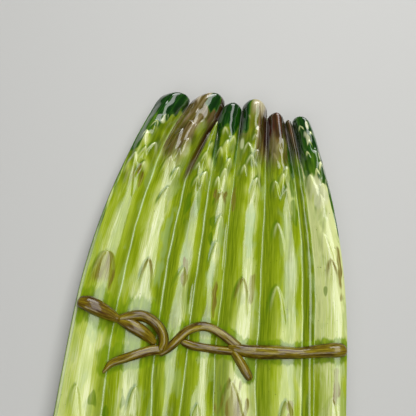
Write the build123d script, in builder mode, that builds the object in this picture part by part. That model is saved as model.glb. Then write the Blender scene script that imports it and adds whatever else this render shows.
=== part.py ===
from build123d import *
import math
import os
from collections import namedtuple

# Asparagus plate: a shallow dish moulded as a tied bunch of stalks. Millimetres.
# +X to the right, +Y towards the tips, +Z up. The foot stands on Z = 0.

# Overall
PLATE_LENGTH = 302.0
TIE_FROM_CUT_ENDS = 111.0
FOOT_CLEARANCE = 3.5
SHELL_THICKNESS = 6.0
DISH_RADIUS = 350.0
TIP_RISE = 9.0
CUT_END_RISE = 4.0

# Rim of the shell
LEFT_LIP = 2.5
LIP_ROUND = 1.2
SHELL_SETBACK = 3.0

# Foot ring
FOOT_WIDTH = 112.0
FOOT_LENGTH = 196.0
FOOT_CORNER = 50.0
FOOT_WALL = 6.0
FOOT_TOP_MARGIN = 0.5

# Seams between the clay pieces
SLIP_SEAM = 0.2
GROOVE_GAP = 0.5
FLANK = 1.2
LEAST_CREST = 1.7

# Stalks are pressed flatter over the well than at their heads
PRESSED = 0.6
PRESSED_UNTIL = 0.5
FULL_FROM = 0.8

# Stalk ends
TIP_END_SHARE = 0.25
TIP_OVERHANG = 9.0
EASE = 5.0

# Scale leaves, widest at a share of their length
LEAF_THICKNESS = 1.2
LEAF_BELLY = 0.4

# Tie
TIE_BED = 4.2
TIE_SINK = 0.5
LEFT_STRAND_RADIUS = 4.8
INNER_STRAND_RADIUS = 3.9
HOOK_RADIUS = 3.3
LEFT_TAIL_RADIUS = 3.0
ARCH_RADIUS = 2.8
LOWER_STRAND_RADIUS = 2.7
RIGHT_STRAND_RADIUS = 4.6
RIGHT_TAIL_RADIUS = 2.9

# How a groove swings from its place at the tie to its place at the tips: where that starts, and its power
EVEN_SWING = (0.0, 3.0)

Leaf = namedtuple("Leaf", "anchor offset length width side")
Stalk = namedtuple(
    "Stalk",
    "width tip_width end_width tip_setback end_setback dome relief leaves right_swing",
    defaults=(EVEN_SWING,),
)

# A leaf's point is placed by its distance from the tie or from its stalk's own tip
TIE = "tie"
TIP = "tip"

STALKS = (
    Stalk(
        width=26.0, tip_width=24.6, end_width=27.5, tip_setback=5.5, end_setback=4.0, dome=11.0,
        relief=8.0, right_swing=(0.6, 3.0),
        leaves=(Leaf(TIE, 49, 29, 13, -1), Leaf(TIP, -66, 26, 11, -3), Leaf(TIE, -40, 24, 10, -3)),
    ),
    Stalk(
        width=30.0, tip_width=22.9, end_width=35.5, tip_setback=0.0, end_setback=1.5, dome=10.0,
        relief=8.5, right_swing=(0.6, 1.3),
        leaves=(Leaf(TIE, 50, 26, 14, 1), Leaf(TIP, -46, 30, 13, 0), Leaf(TIE, -36, 26, 13, 3)),
    ),
    Stalk(
        width=22.5, tip_width=0.6, end_width=14.0, tip_setback=23.0, end_setback=3.0, dome=18.0,
        relief=6.5, right_swing=(0.85, 1.5),
        leaves=(Leaf(TIE, 48, 24, 10, 0), Leaf(TIP, -24, 24, 9, 1)),
    ),
    Stalk(
        width=20.0, tip_width=13.2, end_width=25.0, tip_setback=5.5, end_setback=0.0, dome=7.0,
        relief=6.5,
        leaves=(Leaf(TIE, 70, 24, 11, 1), Leaf(TIP, -75, 30, 11, 1), Leaf(TIP, -34, 24, 11, 0)),
    ),
    Stalk(
        width=28.5, tip_width=19.3, end_width=29.5, tip_setback=0.5, end_setback=2.0, dome=9.0,
        relief=8.0,
        leaves=(Leaf(TIE, 45, 28, 13, 0), Leaf(TIP, -48, 30, 12, 0), Leaf(TIE, -30, 30, 14, -3)),
    ),
    Stalk(
        width=31.0, tip_width=11.2, end_width=27.0, tip_setback=10.5, end_setback=0.5, dome=7.0,
        relief=8.0,
        leaves=(Leaf(TIE, 42, 30, 14, -5), Leaf(TIP, -83, 24, 12, -3), Leaf(TIE, -37, 26, 13, 1)),
    ),
    Stalk(
        width=8.5, tip_width=4.95, end_width=6.5, tip_setback=14.5, end_setback=5.0, dome=5.0,
        relief=3.0,
        leaves=(),
    ),
    Stalk(
        width=21.0, tip_width=13.75, end_width=18.5, tip_setback=12.5, end_setback=3.5, dome=10.0,
        relief=7.5,
        leaves=(Leaf(TIE, 66, 26, 11, 0), Leaf(TIP, -78, 26, 10, -1), Leaf(TIP, -44, 26, 9, 0)),
    ),
)

# Values that follow from the sizes above
TIP_LINE = PLATE_LENGTH / 2
END_LINE = -PLATE_LENGTH / 2
TIE_Y = END_LINE + TIE_FROM_CUT_ENDS
WELL_FLOOR = FOOT_CLEARANCE + SHELL_THICKNESS
ABOVE_ALL = WELL_FLOOR * 8
HALF_AT_TIE = (sum(s.width for s in STALKS) + LEFT_LIP) / 2
HALF_AT_TIPS = (sum(s.tip_width for s in STALKS) + LEFT_LIP) / 2
HALF_AT_ENDS = (sum(s.end_width for s in STALKS) + LEFT_LIP) / 2


def share(y):
    """How far y lies from the tie towards the tips (positive) or the cut ends (negative)."""
    if y >= TIE_Y:
        return (y - TIE_Y) / (TIP_LINE - TIE_Y)
    return (y - TIE_Y) / (TIE_Y - END_LINE)


def half_width(y):
    s = share(y)
    other = HALF_AT_TIPS if s >= 0 else HALF_AT_ENDS
    return HALF_AT_TIE + (other - HALF_AT_TIE) * s * s


def dish_top(x, y):
    """Height of the shell's upper face."""
    s = share(y)
    rise = TIP_RISE if s >= 0 else CUT_END_RISE
    return WELL_FLOOR + rise * s * s + DISH_RADIUS - math.sqrt(DISH_RADIUS ** 2 - x * x)


def groove_share(number, s):
    """Groove position as a share of the half width: at the tie, drifting to the tips or the cut ends."""
    at_tie = -1 + (LEFT_LIP + sum(k.width for k in STALKS[:number])) / HALF_AT_TIE
    if s >= 0:
        at_end = -1 + (LEFT_LIP + sum(k.tip_width for k in STALKS[:number])) / HALF_AT_TIPS
        start, power = STALKS[number - 1].right_swing if number else EVEN_SWING
        return at_tie + (at_end - at_tie) * (max(s - start, 0.0) / (1 - start)) ** power
    at_end = -1 + (LEFT_LIP + sum(k.end_width for k in STALKS[:number])) / HALF_AT_ENDS
    return at_tie + (at_end - at_tie) * s * s * (3 + 2 * s)


def groove(number, y):
    return groove_share(number, share(y)) * half_width(y)


def stalk_middle(number, y):
    return (groove(number, y) + groove(number + 1, y)) / 2


def relief_at(number, y):
    """Height of a stalk's crest above the shell."""
    rise = (share(y) - PRESSED_UNTIL) / (FULL_FROM - PRESSED_UNTIL)
    rise = min(max(rise, 0.0), 1.0)
    return STALKS[number].relief * (PRESSED + (1 - PRESSED) * rise * rise * (3 - 2 * rise))


def stalk_stations(number):
    """Places along a stalk and the share of its full section there."""
    stalk = STALKS[number]
    first = END_LINE + stalk.end_setback
    last = TIP_LINE - stalk.tip_setback
    dome = last - stalk.dome
    easing = dome - EASE
    stations = [(first + (TIE_Y - first) * step / 5, 1.0) for step in range(5)]
    stations += [(TIE_Y + (easing - TIE_Y) * step / 8, 1.0) for step in range(9)]
    stations.append((dome, 1.0))
    for left in (0.68, 0.4, 0.18, 0.045):
        stations.append((last - stalk.dome * left, math.sqrt(1 - (1 - left) ** 2)))
    stations.append((last, TIP_END_SHARE))
    return stations


def build_stalk(number, extra):
    """One stalk, its crest raised by extra."""
    with BuildPart() as made:
        for y, size in stalk_stations(number):
            middle = stalk_middle(number, y)
            half = (groove(number + 1, y) - groove(number, y)) / 2 - GROOVE_GAP / 2
            left = middle - half * size
            right = middle + half * size
            low_left = dish_top(left, y) + SLIP_SEAM
            low_right = dish_top(right, y) + SLIP_SEAM
            low_middle = dish_top(middle, y) + SLIP_SEAM
            crest = low_middle + max(relief_at(number, y) * size, LEAST_CREST) + extra
            with BuildSketch(Plane.XZ.offset(-y)):
                with BuildLine():
                    ThreePointArc((left, low_left), (middle, low_middle), (right, low_right))
                    Line((right, low_right), (right, low_right + FLANK))
                    ThreePointArc((right, low_right + FLANK), (middle, crest), (left, low_left + FLANK))
                    Line((left, low_left + FLANK), (left, low_left))
                make_face()
        loft()
    return made


def build_leaves(number, stalk):
    """The scale leaves of one stalk, laid on its crest."""
    grown = build_stalk(number, LEAF_THICKNESS)
    with BuildPart() as made:
        for leaf in STALKS[number].leaves:
            tip_y = leaf.offset + (TIE_Y if leaf.anchor == TIE else TIP_LINE - STALKS[number].tip_setback)
            base_y = tip_y - leaf.length
            belly_y = base_y + leaf.length * LEAF_BELLY
            tip_x = stalk_middle(number, tip_y) + leaf.side
            base_x = stalk_middle(number, base_y) + leaf.side
            belly_x = stalk_middle(number, belly_y) + leaf.side
            with BuildSketch(Plane.XY):
                with BuildLine():
                    ThreePointArc((base_x, base_y), (belly_x - leaf.width / 2, belly_y), (tip_x, tip_y))
                    ThreePointArc((tip_x, tip_y), (belly_x + leaf.width / 2, belly_y), (base_x, base_y))
                make_face()
        extrude(amount=ABOVE_ALL)
        add(grown.part, mode=Mode.INTERSECT)
        add(stalk.part, mode=Mode.SUBTRACT)
    return made


def strand_height(x, y, radius):
    return dish_top(x, y) + TIE_BED + TIE_SINK * radius


def build_strand(radius, points, cutters):
    """A round strand through points (x, y, share of its radius), cut to seat on its neighbours."""
    places = [Vector(x, y, strand_height(x, y, radius)) for x, y, size in points]
    with BuildPart() as made:
        for k, place in enumerate(places):
            ahead = places[min(k + 1, len(places) - 1)]
            behind = places[max(k - 1, 0)]
            along = (ahead - behind).normalized()
            across = along.cross(Vector(0, 0, 1))
            with BuildSketch(Plane(origin=place, x_dir=across, z_dir=along)):
                Circle(radius * points[k][2])
        loft()
        for cutter in cutters:
            add(cutter.part, mode=Mode.SUBTRACT)
    return made


os.makedirs("parts", exist_ok=True)

# Stalks
stalks = [build_stalk(number, 0.0) for number in range(len(STALKS))]
for number, stalk in enumerate(stalks):
    stalk.part.label = f"stalk_{number + 1}"
    export_step(stalk.part, f"parts/stalk_{number + 1}.step")

# Scale leaves
leaves = []
for number, stalk in enumerate(stalks):
    if STALKS[number].leaves:
        leaf_set = build_leaves(number, stalk)
        leaf_set.part.label = f"scale_leaves_{number + 1}"
        export_step(leaf_set.part, f"parts/scale_leaves_{number + 1}.step")
        leaves.append(leaf_set)

# Shell, its far end an arc set back behind the tips
shell_start = END_LINE + max(s.end_setback for s in STALKS) + SHELL_SETBACK
shell_left_end = TIP_LINE - STALKS[0].tip_setback - STALKS[0].dome - EASE
shell_right_end = TIP_LINE - STALKS[-1].tip_setback - STALKS[-1].dome - EASE
with BuildPart() as plate_body:
    for step in range(11):
        y = shell_start + (TIP_LINE - shell_start) * step / 10
        edge = half_width(y)
        inner = edge - LIP_ROUND
        top = dish_top(inner, y)
        middle = top - SHELL_THICKNESS / 2
        under = top - SHELL_THICKNESS
        with BuildSketch(Plane.XZ.offset(-y)):
            with BuildLine():
                ThreePointArc((-inner, top), (0, dish_top(0, y)), (inner, top))
                ThreePointArc((inner, top), (edge, middle), (inner, under))
                ThreePointArc((inner, under), (0, dish_top(0, y) - SHELL_THICKNESS), (-inner, under))
                ThreePointArc((-inner, under), (-edge, middle), (-inner, top))
            make_face()
    loft()
    with BuildSketch(Plane.XY):
        with BuildLine():
            Line((HALF_AT_TIE, shell_right_end), (HALF_AT_TIE, END_LINE))
            Line((HALF_AT_TIE, END_LINE), (-HALF_AT_TIE, END_LINE))
            Line((-HALF_AT_TIE, END_LINE), (-HALF_AT_TIE, shell_left_end))
            Line((-HALF_AT_TIE, shell_left_end), (-half_width(shell_left_end), shell_left_end))
            ThreePointArc(
                (-half_width(shell_left_end), shell_left_end),
                (0, TIP_LINE - TIP_OVERHANG),
                (half_width(shell_right_end), shell_right_end),
            )
            Line((half_width(shell_right_end), shell_right_end), (HALF_AT_TIE, shell_right_end))
        make_face()
    extrude(amount=ABOVE_ALL, mode=Mode.INTERSECT)
plate_body.part.label = "plate_body"
export_step(plate_body.part, "parts/plate_body.step")

# Foot ring, trimmed to the underside of the shell
with BuildPart() as foot_ring:
    with BuildSketch(Plane.XY):
        RectangleRounded(FOOT_WIDTH, FOOT_LENGTH, FOOT_CORNER)
        RectangleRounded(
            FOOT_WIDTH - 2 * FOOT_WALL,
            FOOT_LENGTH - 2 * FOOT_WALL,
            FOOT_CORNER - FOOT_WALL,
            mode=Mode.SUBTRACT,
        )
    extrude(amount=WELL_FLOOR - FOOT_TOP_MARGIN)
    add(plate_body.part, mode=Mode.SUBTRACT)
foot_ring.part.label = "foot_ring"
export_step(foot_ring.part, "parts/foot_ring.step")

# Tie: places are measured from the rims, the grooves and the tie line
rim_left = groove(0, TIE_Y)
rim_right = groove(len(STALKS), TIE_Y)
pinch_x = groove(1, TIE_Y) + 3
bend_x = groove(2, TIE_Y) + 6
join_x = groove(4, TIE_Y) + 13

tie_left_strand = build_strand(
    LEFT_STRAND_RADIUS,
    (
        (rim_left + 1, TIE_Y + 12.5, 0.62),
        (rim_left + 3, TIE_Y + 12.5, 0.92),
        ((rim_left + pinch_x) / 2, TIE_Y + 10, 1.00),
        (pinch_x - 6, TIE_Y + 7, 0.75),
        (pinch_x, TIE_Y + 5.2, 0.46),
    ),
    stalks[0:2] + leaves[0:2],
)
tie_hook = build_strand(
    HOOK_RADIUS,
    (
        (pinch_x + 2, TIE_Y + 6.2, 0.73),
        (pinch_x + 9, TIE_Y + 8.8, 0.97),
        (bend_x - 17, TIE_Y + 9.8, 1.00),
        (bend_x - 11, TIE_Y + 8, 1.00),
        (bend_x - 5, TIE_Y + 4, 1.00),
        (bend_x - 1.2, TIE_Y - 1.5, 1.00),
        (bend_x, TIE_Y - 6.5, 0.97),
        (bend_x - 1.5, TIE_Y - 11, 0.91),
    ),
    stalks[1:3] + leaves[1:3] + [tie_left_strand],
)
tie_inner_strand = build_strand(
    INNER_STRAND_RADIUS,
    (
        (pinch_x + 1.5, TIE_Y + 4.5, 0.62),
        (pinch_x + 8, TIE_Y + 2.2, 1.00),
        (pinch_x + 15, TIE_Y - 0.8, 1.00),
        (bend_x - 9.5, TIE_Y - 4.6, 0.77),
    ),
    stalks[1:3] + leaves[1:3] + [tie_left_strand, tie_hook],
)
tie_left_tail = build_strand(
    LEFT_TAIL_RADIUS,
    (
        (bend_x - 1.5, TIE_Y - 11.5, 0.87),
        (bend_x - 8.5, TIE_Y - 12.9, 1.00),
        (bend_x - 15, TIE_Y - 15.6, 0.93),
        (bend_x - 22, TIE_Y - 18.8, 0.87),
        (bend_x - 29, TIE_Y - 22, 0.77),
        (bend_x - 34, TIE_Y - 25, 0.63),
        (bend_x - 37.5, TIE_Y - 29.5, 0.43),
    ),
    stalks[0:3] + leaves[0:3] + [tie_hook],
)
tie_right_strand = build_strand(
    RIGHT_STRAND_RADIUS,
    (
        (join_x - 2.5, TIE_Y - 4.8, 0.65),
        (join_x + 1, TIE_Y - 5, 0.83),
        (join_x + 13, TIE_Y - 5, 0.96),
        (join_x + 27, TIE_Y - 4.2, 0.98),
        (join_x + 43, TIE_Y - 3, 0.83),
        (rim_right - 18, TIE_Y - 0.6, 0.93),
        (rim_right - 5, TIE_Y + 1.2, 1.04),
        (rim_right - 3, TIE_Y + 1.5, 0.78),
    ),
    stalks[4:8] + [leaves[4], leaves[5], leaves[6]],
)
tie_arch = build_strand(
    ARCH_RADIUS,
    (
        (bend_x + 0.5, TIE_Y - 13.5, 0.86),
        (bend_x + 4.5, TIE_Y - 9.4, 1.00),
        (bend_x + 9.3, TIE_Y - 3.2, 1.00),
        (bend_x + 14, TIE_Y + 2.8, 1.00),
        (bend_x + 20, TIE_Y + 6.4, 1.00),
        (bend_x + 26, TIE_Y + 7.7, 1.00),
        (join_x - 17, TIE_Y + 6.6, 1.00),
        (join_x - 11, TIE_Y + 4, 1.00),
        (join_x - 5, TIE_Y + 0.6, 1.00),
        (join_x, TIE_Y - 2.6, 0.93),
    ),
    stalks[1:5] + leaves[1:5] + [tie_hook, tie_left_tail, tie_right_strand],
)
tie_lower_strand = build_strand(
    LOWER_STRAND_RADIUS,
    (
        (bend_x + 12.5, TIE_Y - 3.8, 0.81),
        (bend_x + 21, TIE_Y - 5.8, 1.00),
        (join_x - 20, TIE_Y - 6.2, 1.00),
        (join_x - 11, TIE_Y - 6.4, 1.00),
        (join_x - 2, TIE_Y - 6.2, 0.96),
    ),
    stalks[2:5] + leaves[2:5] + [tie_arch, tie_right_strand],
)
tie_right_tail = build_strand(
    RIGHT_TAIL_RADIUS,
    (
        (join_x - 0.5, TIE_Y - 8, 0.83),
        (join_x + 4.5, TIE_Y - 13.3, 1.00),
        (join_x + 9.5, TIE_Y - 20, 1.00),
        (join_x + 10.6, TIE_Y - 21.5, 0.69),
    ),
    stalks[3:6] + leaves[3:6] + [tie_right_strand, tie_lower_strand],
)

tie = {
    "tie_left_strand": tie_left_strand,
    "tie_inner_strand": tie_inner_strand,
    "tie_hook": tie_hook,
    "tie_left_tail": tie_left_tail,
    "tie_arch": tie_arch,
    "tie_lower_strand": tie_lower_strand,
    "tie_right_strand": tie_right_strand,
    "tie_right_tail": tie_right_tail,
}
for name, strand in tie.items():
    strand.part.label = name
    export_step(strand.part, f"parts/{name}.step")
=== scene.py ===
import math
from collections import namedtuple

import bpy
import numpy as np
from mathutils import Matrix, Vector


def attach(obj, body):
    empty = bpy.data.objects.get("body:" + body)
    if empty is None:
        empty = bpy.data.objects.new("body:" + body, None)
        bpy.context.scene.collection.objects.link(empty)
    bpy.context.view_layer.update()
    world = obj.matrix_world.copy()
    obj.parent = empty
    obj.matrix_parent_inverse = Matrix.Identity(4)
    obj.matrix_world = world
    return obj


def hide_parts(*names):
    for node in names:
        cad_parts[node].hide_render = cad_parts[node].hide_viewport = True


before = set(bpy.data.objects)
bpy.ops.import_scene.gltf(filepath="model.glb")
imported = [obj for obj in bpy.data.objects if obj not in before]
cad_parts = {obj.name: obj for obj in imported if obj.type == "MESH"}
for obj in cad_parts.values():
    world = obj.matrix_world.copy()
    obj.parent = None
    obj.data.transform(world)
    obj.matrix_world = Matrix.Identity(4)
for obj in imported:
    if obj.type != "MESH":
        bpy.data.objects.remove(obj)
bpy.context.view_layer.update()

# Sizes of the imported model, in millimetres. The points are scaled when a mesh is added.
MM = 0.001
TIP_LINE = 151.0
END_LINE = -151.0
TIE_Y = -40.0
WELL_FLOOR = 9.5
DISH_RADIUS = 350.0
TIP_RISE = 9.0
CUT_END_RISE = 4.0
LEFT_LIP = 2.5
TIP_OVERHANG = 9.0
EASE = 5.0
SHELL_THICKNESS = 6.0
SHELL_START = -143.0
FOOT_WIDTH = 112.0
FOOT_LENGTH = 196.0
FOOT_CORNER = 50.0
FOOT_WALL = 6.0

# The stalks from left to right, numbered from 0
WIDTH_AT_TIE = (26.0, 30.0, 22.5, 20.0, 28.5, 31.0, 8.5, 21.0)
WIDTH_AT_TIPS = (24.6, 22.9, 0.6, 13.2, 19.3, 11.2, 4.95, 13.75)
WIDTH_AT_ENDS = (27.5, 35.5, 14.0, 25.0, 29.5, 27.0, 6.5, 18.5)
TIP_SETBACK = (5.5, 0.0, 23.0, 5.5, 0.5, 10.5, 14.5, 12.5)
END_SETBACK = (4.0, 1.5, 3.0, 0.0, 2.0, 0.5, 5.0, 3.5)
DOME = (11.0, 10.0, 18.0, 7.0, 9.0, 7.0, 5.0, 10.0)
BLUNTNESS = (3.0, 2.6, 2.0, 2.6, 2.6, 2.6, 2.4, 3.0)
TIP_LEAN = (4.0, 3.0, 0.0, 0.0, -1.0, 0.0, 0.0, -3.0)
RELIEF = (8.0, 8.5, 6.5, 6.5, 8.0, 8.0, 3.0, 7.5)
COUNT = len(RELIEF)
SHORT_STALK = 2
THIN_STALK = 6
LAST_STALK = COUNT - 1

# How late and how sharply each groove swings to its place among the tips
EVEN_SWING = (0.0, 3.0)
SWINGS = (EVEN_SWING, (0.6, 3.0), (0.6, 1.3), (0.85, 1.5)) + (EVEN_SWING,) * 5

# Section of a stalk: pressed flatter over the well, and full again between two shares of the way up
ROUNDNESS = 0.86
PRESSED = 0.42
PRESSED_UNTIL = 0.5
FULL_FROM = 0.8
GROOVE_FILLET = 1.6

# Where the gap above the short stalk closes, where the left lip narrows, and how wide it stays
GAP_CLOSES = (116.0, 131.0)
TIP_OVERLAP = 0.5
LIP_NARROWS = (55.0, 105.0)
NARROW_LIP = 0.6

WIDTHS = (WIDTH_AT_TIE, WIDTH_AT_TIPS, WIDTH_AT_ENDS)
HALVES = [(sum(widths) + LEFT_LIP) / 2 for widths in WIDTHS]
HALF_AT_TIE, HALF_AT_TIPS, HALF_AT_ENDS = HALVES


def smooth(low, high, value):
    """Eased step from 0 at low to 1 at high."""
    t = np.clip((value - low) / (high - low), 0.0, 1.0)
    return t * t * (3 - 2 * t)


def fade(low, high, value):
    """Eased step from 1 at low to 0 at high."""
    return 1 - smooth(low, high, value)


def bell(value, middle, width):
    """Bell curve that is 1 at its middle."""
    return np.exp(-((value - middle) / width) ** 2)


def share(y):
    """Place along the plate: 0 at the tie, 1 at the tips and -1 at the cut ends."""
    way = y - TIE_Y
    return way / np.where(way >= 0, TIP_LINE - TIE_Y, TIE_Y - END_LINE)


def half_width(y):
    s = share(y)
    other = np.where(s >= 0, HALF_AT_TIPS, HALF_AT_ENDS)
    return HALF_AT_TIE + (other - HALF_AT_TIE) * s * s


def dish_top(x, y):
    """Height of the shell's hollow upper face."""
    s = share(y)
    rise = np.where(s >= 0, TIP_RISE, CUT_END_RISE)
    return WELL_FLOOR + rise * s * s + DISH_RADIUS - np.sqrt(DISH_RADIUS ** 2 - x ** 2)


def groove(number, y):
    """Groove to the left of a stalk, wavering a little as a hand cut it."""
    s = share(y)
    shares = [-1 + (LEFT_LIP + sum(widths[:number])) / half for widths, half in zip(WIDTHS, HALVES)]
    at_tie, at_tips, at_ends = shares
    start, power = SWINGS[number]
    up = at_tie + (at_tips - at_tie) * (np.maximum(s - start, 0) / (1 - start)) ** power
    down = at_tie + (at_ends - at_tie) * s * s * (3 + 2 * s)
    waver = 0.3 * np.sin(0.07 * y + 1.9 * number) + 0.12 * np.sin(0.23 * y + 4.1 * number)
    inner = 0 < number < COUNT
    return np.where(s >= 0, up, down) * half_width(y) + inner * waver * fade(0.5, 0.75, s)


def sides(number, y):
    """Left and right side of a stalk: the grooves, with the gap above the short stalk closed."""
    left, right = groove(number, y), groove(number + 1, y)
    closed = smooth(*GAP_CLOSES, y)
    between = (groove(SHORT_STALK, y) + groove(SHORT_STALK + 1, y)) / 2
    if number == 0:
        left = left - (LEFT_LIP - NARROW_LIP) * smooth(*LIP_NARROWS, y)
    if number == SHORT_STALK - 1:
        right = right + (between + TIP_OVERLAP - right) * closed
    if number == SHORT_STALK + 1:
        left = left + (between - TIP_OVERLAP - left) * closed
    return left, right


def ripple(a, b, seed):
    """A smooth uneven field from about -1 to 1."""
    total = np.zeros(np.broadcast(a, b).shape)
    for k in range(6):
        turn = 2.399 * k + seed * 1.7
        stretch = 0.75 + 0.29 * k
        total = total + np.sin((a * math.cos(turn) + b * math.sin(turn)) * stretch + 4.1 * k + seed * 2.3)
    return total / 3.2


def profile(across, half, fillet):
    """Section of a stalk: 1 on the crest, 0 in the rounded groove."""
    edge = half * (1 - np.abs(across))
    reach = np.sqrt(edge ** 2 + fillet ** 2) - fillet
    whole = np.sqrt(half ** 2 + fillet ** 2) - fillet
    inward = 1 - reach / whole
    flat = math.sqrt(1 - ROUNDNESS ** 2)
    return (np.sqrt(1 - (ROUNDNESS * inward) ** 2) - flat) / (1 - flat)


def relief(number, y):
    """Height of a crest."""
    return RELIEF[number] * (PRESSED + (1 - PRESSED) * smooth(PRESSED_UNTIL, FULL_FROM, share(y)))


# Leaves. A leaf's point lies at a place along the plate, with an offset to the side of the stalk's middle.
LEAF_SHAPE = "point side lean length width thickness edge_brown brown"
Leaf = namedtuple("Leaf", LEAF_SHAPE + " line line_width slope rim")

# Shapes of each stalk's large leaves
LEAVES = (
    ((11, -1.5, 1, 36, 23, 1.4, 0.7, 0.75), (80, -5, 4, 30, 12, 1.1, 0.9, 0.3),
     (-80, -4, 2, 26, 12, 0.6, 0.1, 0)),
    ((10, 1, 1, 30, 14, 1.2, 0.8, 0.1), (66, 2, -2, 26, 13, 0.9, 0.4, 0.2),
     (-77, 5, 0, 28, 15, 1.2, 0.2, 0)),
    ((8, 1, -2, 26, 12, 0.5, 0, 0), (72, 1, 0, 22, 11, 0.7, 0, 0)),
    ((30, 2, -1, 34, 13, 1.2, 0, 0), (51, 3, -1, 24, 13, 1.2, 0, 0),
     (69, 1, 0, 20, 14, 1.3, 1, 0), (-84, 0, 0, 26, 12, 1, 0.1, 0)),
    ((5, 0, -1, 32, 16, 1.2, 0.9, 0.3), (-67, -3, 2, 36, 22, 1.1, 0.6, 0.45)),
    ((2, -4, 1, 38, 18, 0.7, 0, 0), (50, -4, 1, 26, 13, 0.4, 0, 0),
     (-75, 5, 1, 28, 16, 1.2, 0.5, 0.1)),
    (),
    ((25, 1, 0, 28, 13, 1.1, 0.8, 0.3), (45, -2, 2, 26, 11, 1.1, 0.1, 0),
     (62, 2, -1, 26, 11, 1.1, 0.1, 0), (-70, 0, 0, 26, 12, 1, 0.1, 0)),
)

# How strongly their edges are drawn, the olive beside each edge being partly painted shade
LEAF_LINES = (0.6, 0.8, 0.8, 0.8, 0.8, 0.8, 0.0, 0.35)

# Small scales crowding the heads: how far below each tip they start, rows, pitch, offsets and pale rims,
# which are paler glaze with a painted highlight
SCALE_START = (7.0, 9.0, 0.0, 15.0, 9.0, 10.0, 0.0, 0.0)
SCALE_ROWS = (8, 8, 6, 7, 8, 8, 0, 9)
SCALE_PITCH = 7.0
SCALE_SIDES = (-0.24, 0.22, 0.0)
SCALE_RIMS = (1.0, 0.9, 0.9, 1.0, 0.9, 0.4, 0.0, 1.0)
WIDEST = 21.0

# How lumpy the clay of each stalk is over its length
LUMPS = (0.10, 0.16, 0.3, 0.3, 0.12, 0.1, 0.06, 0.24)

# How pale each stalk is painted: low down, at half length and at the head
TONES = (
    (0.34, 0.06, -0.06), (-0.08, 0.08, -0.04), (-0.04, -0.16, -0.04), (0.02, -0.05, -0.04),
    (0.56, 0.0, -0.1), (0.26, -0.08, -0.12), (-0.24, -0.32, -0.2), (0.02, 0.7, 0.6),
)

# How dark each stalk's left and right flanks are painted
LEFT_BANDS = (0.2, 0.3, 1.0, 0.7, 1.0, 1.0, 0.9, 0.3)
RIGHT_BANDS = (0.6, 0.9, 0.4, 0.4, 0.6, 0.1, 0.5, 0.1)

# Where each stalk is painted paler along its crest, partly thinner glaze and partly a painted highlight:
# middle and half width as shares, and strength
CRESTS = (
    (-0.3, 0.4, 0.5), (-0.05, 0.7, 1.0), (0.35, 0.4, 0.6), (0.2, 0.5, 0.65),
    (0.3, 0.6, 0.8), (0.5, 0.45, 0.6), (0.2, 0.3, 0.1), (0.0, 1.0, 1.2),
)

# How strongly the pale line shows in each groove, from left to right: paler glaze with a painted highlight
GROOVE_LINES = (0.3, 1.0, 1.0, 0.8, 0.3, 0.4, 0.4, 0.1, 0.3)

# How far down each groove between the heads is painted dark: painted shade with dark pooled glaze. The
# outer edges lie past the tips.
PAST_TIPS = 200.0
SEAM_ENDS = (PAST_TIPS, 132.0, 104.0, 104.0, 110.0, 104.0, 102.0, 96.0, PAST_TIPS)

# Touches of the brush by colour: stalk, place along, offset from the middle, half length and half width
DABS = {
    "olive": (
        (0, -88, 7, 6, 3), (1, -94, -13, 5, 2.5), (1, -86, -3, 6, 2.2), (1, -60, 4, 5, 3),
        (2, 57, -5, 13, 2.6), (3, 47, -3.9, 5, 2.2), (3, 31, -3, 6, 2), (5, 62, 9, 16, 3),
        (5, 80, 8, 12, 2.5), (7, 2, -4, 4, 1.5),
    ),
    "mauve": (
        (0, 70, 5, 9, 2), (2, 4, 2, 12, 2.5), (3, -12, 5, 14, 2), (4, -85, -1, 20, 10),
        (4, -2, 7, 14, 2.6), (5, -96, 6, 12, 3), (7, 18, 7, 22, 2), (7, -64, 3, 12, 3),
    ),
    "brown": (
        (0, 76, 2, 5, 1.6), (0, -8, 5.5, 11, 1.8), (0, 1, -5, 6, 2.2), (3, 67, -4, 4, 1.8),
        (3, 68, 4.5, 5, 2), (4, 66, -11, 9, 2.2), (5, -78, 7, 6, 2.4),
    ),
    "sage": (
        (0, -40, 1, 12, 6), (1, 30, 9, 20, 3), (1, 4, 10, 16, 2.6), (2, 58, 3, 14, 2.6),
        (2, 12, 0, 18, 3), (3, 40, 4, 10, 3), (3, 8, 0, 14, 3), (4, 40, 3, 22, 4),
    ),
    "fleck": (
        (0, 119, 3, 4, 1.6), (2, 126, 0, 3, 1.2), (4, 113, -8.5, 5, 1.3), (7, 120, -0.8, 5, 2.4),
        (7, 130, 1.2, 4, 1.5), (7, 104, 4.5, 5, 0.9), (7, 74, 0, 15, 6),
    ),
}


def leaf_list(number):
    """The large leaves of a stalk and the small scales crowding its head."""
    look = dict(line=LEAF_LINES[number], line_width=1.5, slope=1.1, rim=0.6)
    leaves = [Leaf(*place, **look) for place in LEAVES[number]]
    start = TIP_LINE - TIP_SETBACK[number] - 0.8 * DOME[number] - SCALE_START[number]
    for k in range(SCALE_ROWS[number]):
        uneven = math.sin(5.1 * k + 2.7 * number)
        size = 1 + 0.2 * math.sin(3.3 * k + number)
        point = start - SCALE_PITCH * k - 2.0 * uneven
        left, right = sides(number, point - 6)
        wide = min(float(right - left), WIDEST)
        side = (SCALE_SIDES[k % 3] + 0.05 * uneven) * wide
        leaves.append(Leaf(
            point, side, lean=-0.2 * side + uneven, length=(14 + k) * size, width=0.56 * wide * size,
            thickness=min(0.3 + 0.3 * k, 1.5), edge_brown=0.0, brown=0.0, line=0.8, line_width=1.2,
            slope=max(3.4 - 0.25 * k, 2.4), rim=SCALE_RIMS[number],
        ))
    return leaves


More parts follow.
